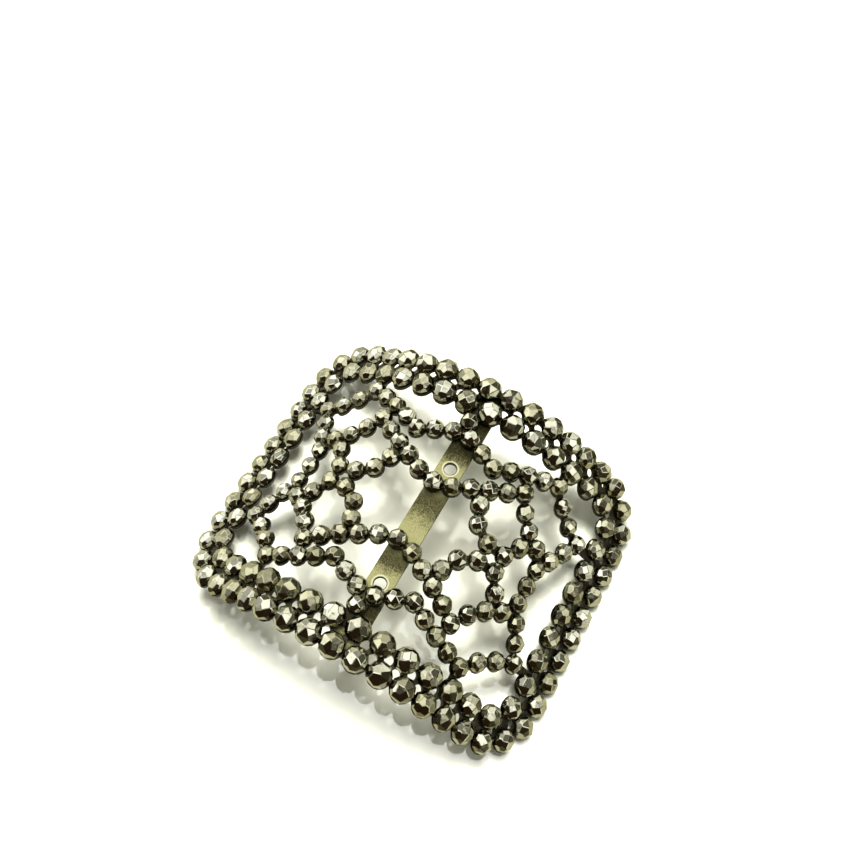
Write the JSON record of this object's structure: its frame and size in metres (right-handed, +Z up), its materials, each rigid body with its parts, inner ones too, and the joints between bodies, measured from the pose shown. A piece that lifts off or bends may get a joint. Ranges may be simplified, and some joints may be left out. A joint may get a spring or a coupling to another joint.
{
  "type": "shoe buckle",
  "caption": "Arched openwork shoe buckle with faceted steel studs on a pierced back plate and a flat brass bar with two sewing holes.",
  "frame": {"origin": "middle of the buckle on the surface that its two side edges stand on", "axes": "+X across the buckle, square to the bar; +Y along the bar; +Z up, towards the studded face"},
  "size_m": [0.0506, 0.0412, 0.0148],
  "materials": {
    "cut_steel": "polished facets with a warm grey tarnish",
    "plate_steel": "dull, darkly tarnished",
    "bar_brass": "satin, mottled with age"
  },
  "bodies": {
    "root": {"back_plate": "plate_steel", "outer_row_studs": "cut_steel", "inner_row_studs": "cut_steel", "scallop_studs": "cut_steel", "star_studs": "cut_steel", "bar": "bar_brass"}
  },
  "joints": []
}
